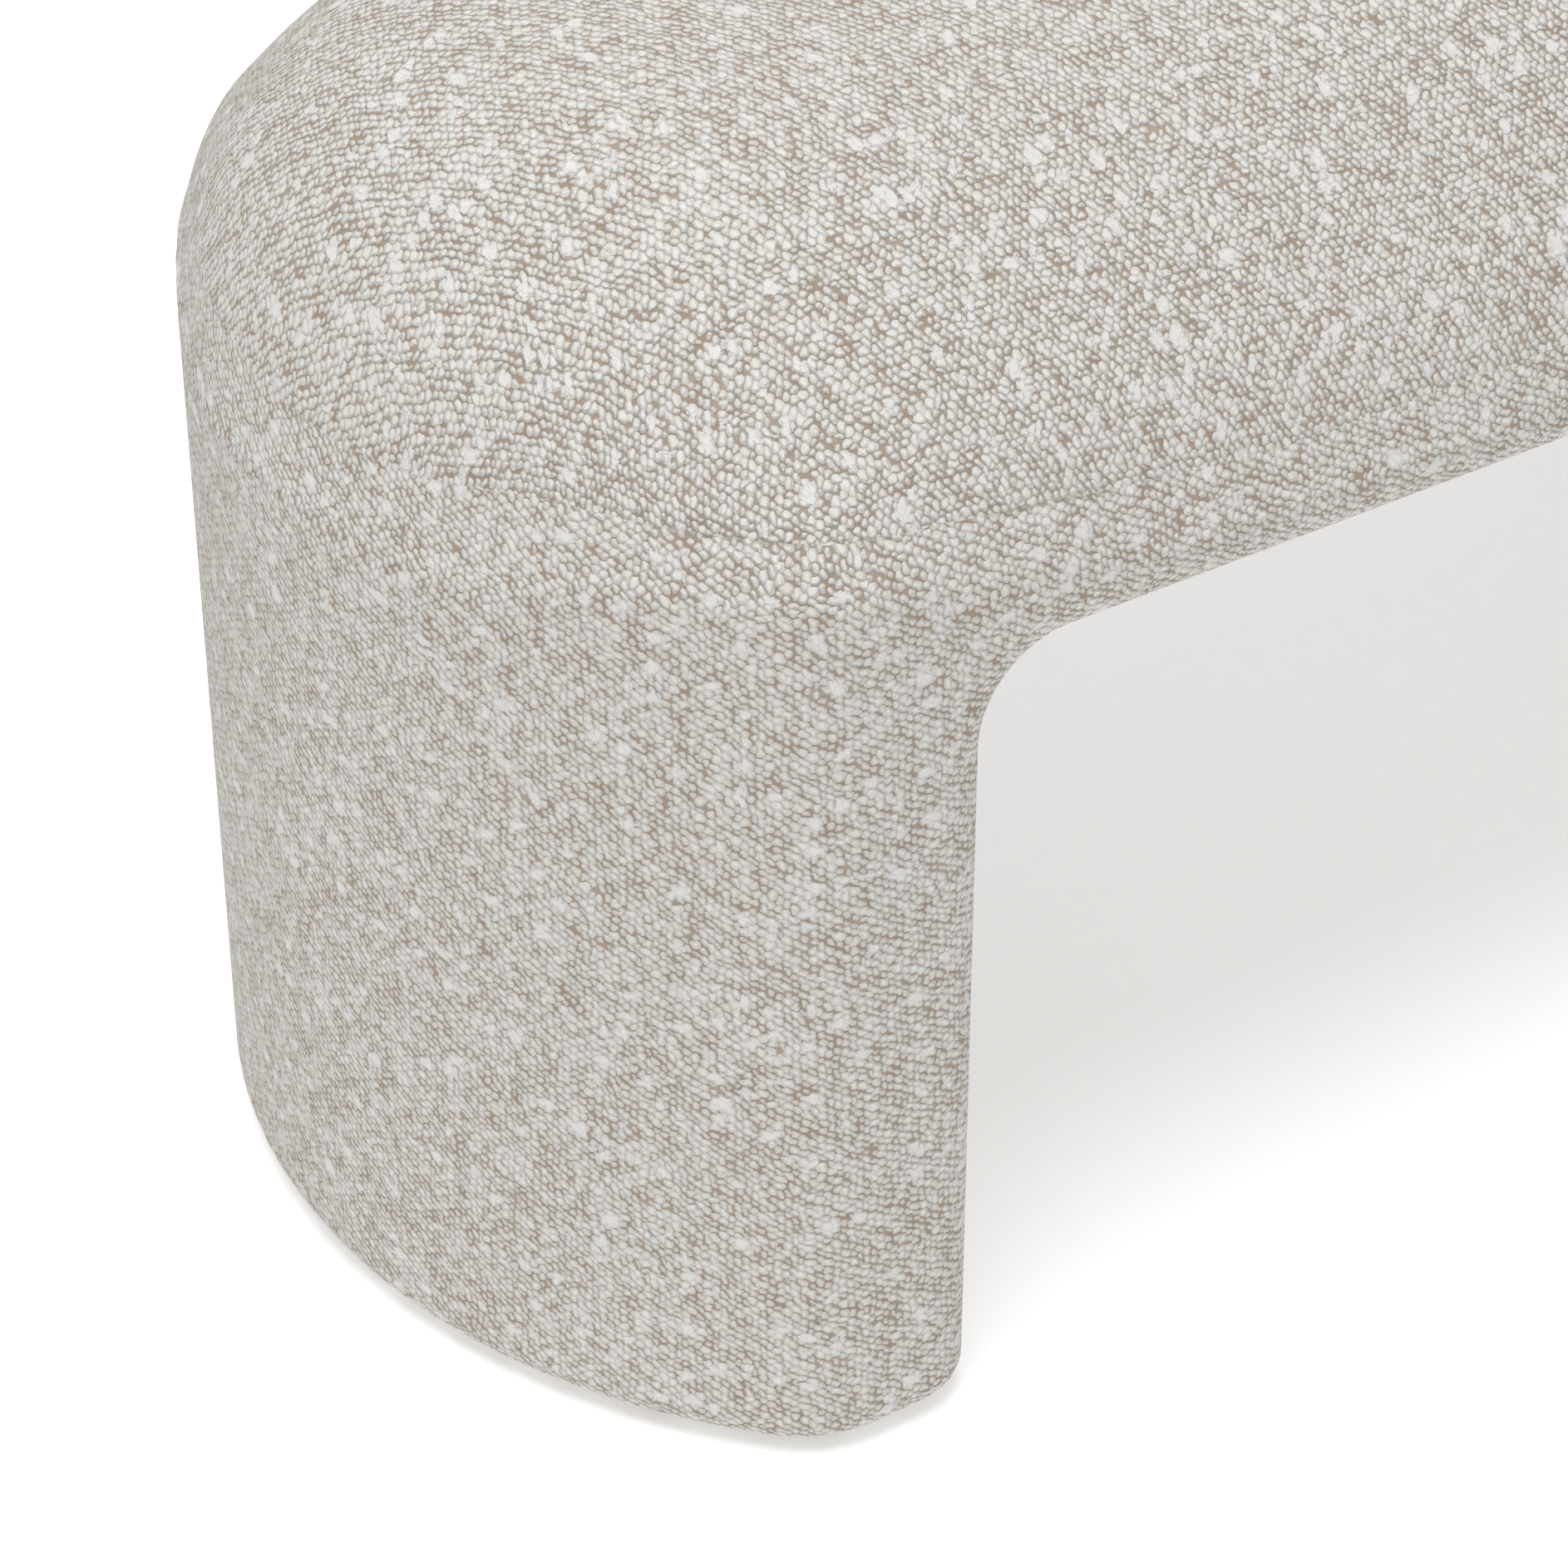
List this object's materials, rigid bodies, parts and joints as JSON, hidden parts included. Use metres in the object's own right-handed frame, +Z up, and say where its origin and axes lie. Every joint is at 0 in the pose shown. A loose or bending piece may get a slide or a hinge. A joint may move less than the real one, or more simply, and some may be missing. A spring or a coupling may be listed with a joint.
{
  "type": "upholstered bench",
  "caption": "Long backless seat wrapped in thick looped cloth, with bowed ends, a crowned padded top and two slab legs of the same cloth either side of an open arch.",
  "frame": {"origin": "on the floor, under the middle of the bench", "axes": "+X along the bench, +Y from its front to its back, +Z up"},
  "size_m": [1.2, 0.4, 0.4748],
  "materials": {
    "boucle": "off-white looped boucle with tan ground threads",
    "foam": "open-cell polyurethane foam",
    "wadding": "polyester fibre wadding",
    "timber": "sawn beech",
    "plywood": "unfinished birch plywood",
    "zinc_steel": "zinc plated",
    "nylon": "moulded nylon",
    "dust_cloth": "black non-woven cambric"
  },
  "bodies": {
    "root": {"seat_deck": "plywood", "front_rail": "timber", "rear_rail": "timber", "splice_blocks": "timber", "underside_board": "plywood", "cross_rail_1": "timber", "cross_rail_2": "timber", "cross_rail_3": "timber", "cross_rail_4": "timber", "deck_screws": "zinc_steel", "rail_screws": "zinc_steel", "splice_screws": "zinc_steel", "left_base_plate": "plywood", "left_top_plate": "plywood", "left_inner_panel": "plywood", "left_end_skin": "plywood", "left_front_post": "timber", "left_rear_post": "timber", "left_nose_post": "timber", "left_fillet_block": "timber", "left_fillet_foam": "foam", "left_end_rib": "timber", "left_leg_bolts": "zinc_steel", "left_wrap_foam": "foam", "left_dust_cover": "dust_cloth", "left_staples": "zinc_steel", "left_glides": "nylon", "left_glide_nails": "zinc_steel", "right_base_plate": "plywood", "right_top_plate": "plywood", "right_inner_panel": "plywood", "right_end_skin": "plywood", "right_front_post": "timber", "right_rear_post": "timber", "right_nose_post": "timber", "right_fillet_block": "timber", "right_fillet_foam": "foam", "right_end_rib": "timber", "right_leg_bolts": "zinc_steel", "right_wrap_foam": "foam", "right_dust_cover": "dust_cloth", "right_staples": "zinc_steel", "right_glides": "nylon", "right_glide_nails": "zinc_steel", "seat_foam": "foam", "front_apron_foam": "foam", "rear_apron_foam": "foam", "seat_wadding": "wadding", "arch_wadding": "wadding", "arch_lining": "boucle", "side_cover": "boucle", "top_cover": "boucle"}
  },
  "joints": []
}
